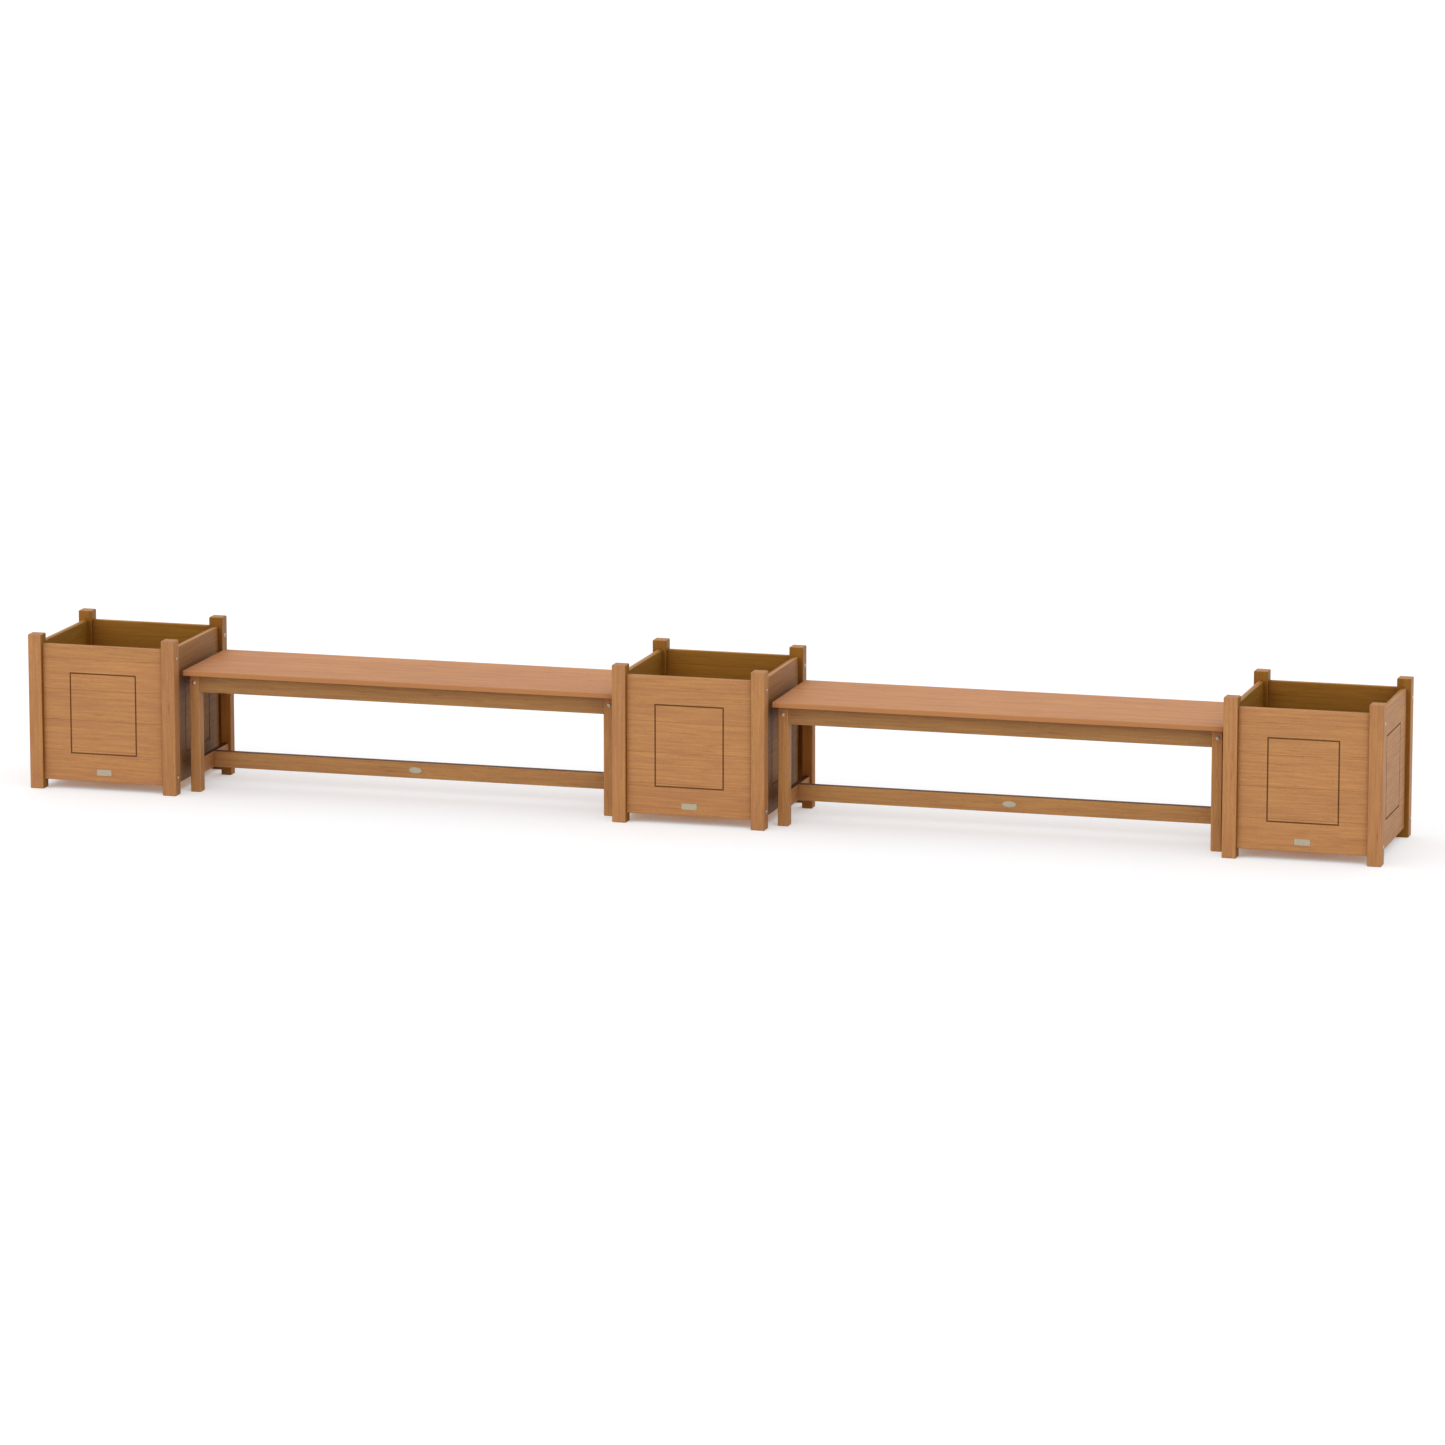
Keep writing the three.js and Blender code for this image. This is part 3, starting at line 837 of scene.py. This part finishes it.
def satin_metal(name, tone, worn_tone, roughness, hollow_shade=None):
    """A metal with its own tone, a worn tone, and a tone of painted shade for its hollows.
    """
    material, tree, output = new_material(name)
    place = node(tree, "ShaderNodeTexCoord", {})
    scratched = node(tree, "ShaderNodeVectorMath", {
        0: place.outputs["Object"],
        1: tuple(1 / (size * MM) for size in SCRATCH_SIZES),
    }, operation="MULTIPLY")
    lines = node(tree, "ShaderNodeTexNoise", {
        "Vector": scratched.outputs[0], "Scale": 1.0, "Detail": 3.0,
    })
    clouds = node(tree, "ShaderNodeTexNoise", {
        "Vector": place.outputs["Object"], "Scale": 1 / (CLOUD_SIZE * MM), "Detail": 2.0,
    })
    worn = node(tree, "ShaderNodeMapRange", {
        "Value": clouds.outputs["Fac"],
        "From Min": 0.35, "From Max": 0.75, "To Min": 0.0, "To Max": 0.6,
    })
    colour = node(tree, "ShaderNodeMix", {
        MIX_FACTOR: worn.outputs[0], MIX_FIRST: linear(tone), MIX_SECOND: linear(worn_tone),
    }, data_type="RGBA").outputs[MIX_RESULT]
    # painted shade and painted dark reflection in the hollows
    if hollow_shade:
        hollow = node(tree, "ShaderNodeAmbientOcclusion", {
            "Distance": HOLLOW_SHADE_REACH * MM,
        }, samples=6)
        hollow_darkening = node(tree, "ShaderNodeMapRange", {
            "Value": hollow.outputs["AO"],
            "From Min": 0.6, "From Max": 0.95, "To Min": 1.0, "To Max": 0.0,
        })
        colour = node(tree, "ShaderNodeMix", {
            MIX_FACTOR: hollow_darkening.outputs[0], MIX_FIRST: colour, MIX_SECOND: linear(hollow_shade),
        }, data_type="RGBA").outputs[MIX_RESULT]
    gloss = node(tree, "ShaderNodeMapRange", {
        "Value": lines.outputs["Fac"],
        "From Min": 0.3, "From Max": 0.7,
        "To Min": roughness - 0.06, "To Max": roughness + 0.08,
    })
    relief = node(tree, "ShaderNodeBump", {
        "Height": lines.outputs["Fac"], "Strength": 0.2, "Distance": SCRATCH_DEPTH * MM,
    })
    surface = node(tree, "ShaderNodeBsdfPrincipled", {
        "Base Color": colour,
        "Metallic": 1.0,
        "Roughness": gloss.outputs[0],
        "Normal": relief.outputs[0],
    })
    tree.links.new(surface.outputs[0], output.inputs["Surface"])
    return material


print("scratches in mm:", SCRATCH_SIZES)

# %% [markdown]
# The bolts are A2 stainless steel, cold formed and tumbled: a warm light grey with a soft
# shine. Where the head meets the wood and in its socket it is painted dark, a painted shade
# and a painted dark reflection of the wood round it, so that it shows as a light spot in a
# dark ring.
#
# The bolts' places come from the frame. A planter's bolts go through its posts into the
# ends of its front and back panels, 33 mm from the panels' upper and lower edges. A
# bench's bolts go through its legs into the end rails, 30 mm below the legs' tops.

# %% Steel bolts in the planters
stainless_steel = satin_metal(
    "tumbled_stainless_steel", "#cdc3b0", "#b6ac9a", roughness=0.3, hollow_shade="#4f4332")
PANEL_BOLT_INSET = 33 * MM
X_AXIS, Y_AXIS, Z_AXIS = np.eye(3)
PLANTERS = ("left", "middle", "right")

for name in PLANTERS:
    places = []
    for side, out in (("left", -1), ("right", 1)):
        for depth in ("front", "back"):
            low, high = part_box(f"{name}_planter_post_{depth}_{side}")
            panel_low, panel_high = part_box(f"{name}_planter_panel_{depth}")
            face = high.x if out > 0 else low.x
            middle = (panel_low.y + panel_high.y) / 2
            for height in (panel_low.z + PANEL_BOLT_INSET, panel_high.z - PANEL_BOLT_INSET):
                places.append((
                    (face, middle, height), out * Y_AXIS, Z_AXIS, out * X_AXIS))
    metal_piece(
        f"{name}_planter_bolts", bolt(SHANK_LENGTH), places, stainless_steel)
    print(name, "planter bolts:", len(places))

# %% Steel bolts in the benches
LEG_BOLT_DROP = 30 * MM
BENCHES = ("left", "right")

for name in BENCHES:
    places = []
    for side in ("left", "right"):
        rail_low, rail_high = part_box(f"{name}_bench_end_rail_{side}")
        for depth, out in (("front", -1), ("back", 1)):
            low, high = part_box(f"{name}_bench_leg_{depth}_{side}")
            face = high.y if out > 0 else low.y
            middle = (rail_low.x + rail_high.x) / 2
            places.append((
                (middle, face, high.z - LEG_BOLT_DROP),
                -out * X_AXIS, Z_AXIS, out * Y_AXIS))
    metal_piece(
        f"{name}_bench_bolts", bolt(LEG_SHANK_LENGTH), places,
        stainless_steel)
    print(name, "bench bolts:", len(places))

# %% [markdown]
# A small bare plate sits low on each planter's front panel, and a bare oval badge on each
# long stretcher. They're stamped from thin sheet, so they have a rolled rim round a flat
# field. Both are rings of points again: the outline, then the same outline drawn in.

# %% Stamped plates
OUTLINE_POINTS = 48
PLATE_THICKNESS = 1.5 * MM
EDGE_ROUND = 0.4 * MM
EDGE_MIDDLE = 0.12 * MM
RIM = 1.6 * MM
RIM_RISE = 0.35 * MM
LEAST_CORNER = 0.5 * MM


def plate_outline(size, corner, inset, height):
    """A rounded rectangle of equal point count for any inset. A corner of None: oval."""
    half_width, half_height = size[0] / 2 - inset, size[1] / 2 - inset
    quarter = OUTLINE_POINTS // 4
    points = []
    for step in range(OUTLINE_POINTS):
        if corner is None:
            turn = 2 * math.pi * step / OUTLINE_POINTS
            points.append((
                half_width * math.cos(turn), half_height * math.sin(turn), height))
            continue
        radius = max(corner - inset, LEAST_CORNER)
        right = 1 if step < quarter or step >= 3 * quarter else -1
        upper = 1 if step < 2 * quarter else -1
        turn = ((step % quarter) / (quarter - 1) + step // quarter) * math.pi / 2
        points.append((
            right * (half_width - radius) + radius * math.cos(turn),
            upper * (half_height - radius) + radius * math.sin(turn),
            height,
        ))
    return points


def stamped(size, corner):
    """A plate on the plane z = 0 with a rim that stands above its field."""
    profile = (
        (0, 0),
        (0, PLATE_THICKNESS - EDGE_ROUND),
        (EDGE_MIDDLE, PLATE_THICKNESS - EDGE_MIDDLE),
        (EDGE_ROUND, PLATE_THICKNESS),
        (RIM - EDGE_ROUND, PLATE_THICKNESS),
        (RIM, PLATE_THICKNESS - RIM_RISE),
    )
    return closed_skin([
        plate_outline(size, corner, inset, height) for inset, height in profile])


print("points on a plate's outline:", OUTLINE_POINTS)

# %% [markdown]
# The plates are anodised aluminium in a pale champagne tone. Anodising gives a satin,
# slightly cloudy metal, rougher than the bolts.

# %% Aluminium plates
champagne_aluminium = satin_metal(
    "satin_anodised_aluminium", "#bcb19a", "#aea38c", roughness=0.42)
PLATE = stamped((56 * MM, 22.5 * MM), corner=4 * MM)
BADGE = stamped((48 * MM, 23 * MM), corner=None)
PLATE_LIFT = 67.3 * MM  # from the ground to a plate's middle
BADGE_LIFT = 88.5 * MM

for name in PLANTERS:
    low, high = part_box(f"{name}_planter_panel_front")
    place = ((low.x + high.x) / 2, low.y, PLATE_LIFT)
    metal_piece(
        f"{name}_planter_plate", PLATE, [(place, X_AXIS, Z_AXIS, -Y_AXIS)],
        champagne_aluminium)
for name in BENCHES:
    low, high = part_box(f"{name}_bench_long_stretcher")
    place = ((low.x + high.x) / 2, low.y, BADGE_LIFT)
    metal_piece(
        f"{name}_bench_badge", BADGE, [(place, X_AXIS, Z_AXIS, -Y_AXIS)],
        champagne_aluminium)
print("plates:", len(PLANTERS), "badges:", len(BENCHES))

# %% [markdown]
# The photograph's ground is white, with soft, faint shadows close to the wood. A plain
# pale floor does both jobs. It is a matt surface that takes the shadows, and to the
# camera and to reflections it also gives off a little light of its own, so that the open
# floor comes out white while the shadows stay. Light paths tell the rays of the camera
# and of reflections from the rays that light the object.

# %% Floor
FLOOR_HALF = 120.0  # metres

floor_mesh = bpy.data.meshes.new("studio_floor")
floor_mesh.from_pydata(
    [(-FLOOR_HALF, -FLOOR_HALF, 0), (FLOOR_HALF, -FLOOR_HALF, 0),
     (FLOOR_HALF, FLOOR_HALF, 0), (-FLOOR_HALF, FLOOR_HALF, 0)],
    [], [(0, 1, 2, 3)])
floor = bpy.data.objects.new("studio_floor", floor_mesh)
scene.collection.objects.link(floor)


def seen_rays(tree):
    """1 for the rays of the camera, of reflections and of glass, and 0 for the others."""
    path = node(tree, "ShaderNodeLightPath", {})
    mirrored = node(tree, "ShaderNodeMath", {
        0: path.outputs["Is Camera Ray"], 1: path.outputs["Is Glossy Ray"],
    }, operation="ADD")
    return node(tree, "ShaderNodeMath", {
        0: mirrored.outputs[0], 1: path.outputs["Is Transmission Ray"],
    }, operation="ADD", use_clamp=True).outputs[0]


print("floor in metres:", 2 * FLOOR_HALF)

# %% [markdown]
# The floor is painted matt, with a faint mottle. Where the wood comes close, ambient
# occlusion turns the floor's glow darker and brown: a painted contact shadow with a painted
# brown bounce light.

# %% Floor paint
FLOOR_TONES = ("#e6e7e9", "#e8e9eb")
FLOOR_LIT = 0.8  # share of the lit floor that is seen
FLOOR_GLOW = 0.48
MOTTLE_SCALE = 3.0
CONTACT = 300  # mm
CONTACT_SHADOW_TONE = "#cb9061"

paint, paint_tree, paint_output = new_material("matt_studio_floor")
seen = seen_rays(paint_tree)
floor_place = node(paint_tree, "ShaderNodeTexCoord", {})
mottle = node(paint_tree, "ShaderNodeTexNoise", {
    "Vector": floor_place.outputs["Object"], "Scale": MOTTLE_SCALE, "Detail": 2.0,
})
floor_colour = node(paint_tree, "ShaderNodeMix", {
    MIX_FACTOR: mottle.outputs["Fac"],
    MIX_FIRST: linear(FLOOR_TONES[0]), MIX_SECOND: linear(FLOOR_TONES[1]),
}, data_type="RGBA")
lit_share = node(paint_tree, "ShaderNodeMapRange", {
    "Value": seen,
    "From Min": 0.0, "From Max": 1.0, "To Min": 1.0, "To Max": FLOOR_LIT,
})
seen_colour = node(paint_tree, "ShaderNodeVectorMath", {
    0: floor_colour.outputs[MIX_RESULT], "Scale": lit_share.outputs[0],
}, operation="SCALE")
matt = node(paint_tree, "ShaderNodeBsdfDiffuse", {"Color": seen_colour.outputs[0]})
contact = node(paint_tree, "ShaderNodeAmbientOcclusion", {
    "Distance": CONTACT * MM,
}, samples=8)
openness = node(paint_tree, "ShaderNodeMapRange", {
    "Value": contact.outputs["AO"],
    "From Min": 0.05, "From Max": 0.25, "To Min": 0.0, "To Max": 1.0,
})
# painted contact shadow, brown from painted bounce light
glow_colour = node(paint_tree, "ShaderNodeMix", {
    MIX_FACTOR: openness.outputs[0],
    MIX_FIRST: linear(CONTACT_SHADOW_TONE), MIX_SECOND: linear("#ffffff"),
}, data_type="RGBA")
glow_strength = node(paint_tree, "ShaderNodeMath", {
    0: seen, 1: FLOOR_GLOW,
}, operation="MULTIPLY")
glow = node(paint_tree, "ShaderNodeEmission", {
    "Color": glow_colour.outputs[MIX_RESULT], "Strength": glow_strength.outputs[0],
})
both = node(paint_tree, "ShaderNodeAddShader", {0: matt.outputs[0], 1: glow.outputs[0]})
paint_tree.links.new(both.outputs[0], paint_output.inputs["Surface"])
floor_mesh.materials.append(paint)
print("floor glow:", FLOOR_GLOW)

# %% [markdown]
# The light is a bright tent of white cloth, as for photographs of goods: soft light from
# all round and no lamp that casts a hard shadow. The world is that tent. Its level changes
# a little with the direction that the light comes from: more from the front, and less
# from the right, where the photograph's faces are duller. Its strength stays near 1, at
# which a colour renders about as it is written. The camera and reflections see white.

# %% World
EVEN_LIGHT = 0.93
FRONT_EXTRA = 0.45  # at most, straight from the front
RIGHT_LOSS = 0.45  # at most, straight from the right

world = bpy.data.worlds.new("even_studio")
world.use_nodes = True
scene.world = world
sky = world.node_tree
sky.nodes.clear()
way = node(sky, "ShaderNodeTexCoord", {})
way_parts = node(sky, "ShaderNodeSeparateXYZ", {0: way.outputs["Generated"]})
level = EVEN_LIGHT
for axis, sign, change in (("Y", -1.0, FRONT_EXTRA), ("X", 1.0, -RIGHT_LOSS)):
    towards = node(sky, "ShaderNodeMath", {
        0: way_parts.outputs[axis], 1: sign,
    }, operation="MULTIPLY", use_clamp=True)
    squared = node(sky, "ShaderNodeMath", {
        0: towards.outputs[0], 1: 2.0,
    }, operation="POWER")
    level = node(sky, "ShaderNodeMath", {
        0: squared.outputs[0], 1: change, 2: level,
    }, operation="MULTIPLY_ADD").outputs[0]
shown_level = node(sky, "ShaderNodeMapRange", {
    "Value": seen_rays(sky),
    "From Min": 0.0, "From Max": 1.0, "To Min": level, "To Max": 1.0,
})
background = node(sky, "ShaderNodeBackground", {
    "Color": linear("#ffffff"), "Strength": shown_level.outputs[0],
})
node(sky, "ShaderNodeOutputWorld", {"Surface": background.outputs[0]})
print("even light:", EVEN_LIGHT)

# %% [markdown]
# Colours are shown as they are: the Standard view changes nothing but the gamma curve.

# %% Finish
scene.view_settings.view_transform = "Standard"
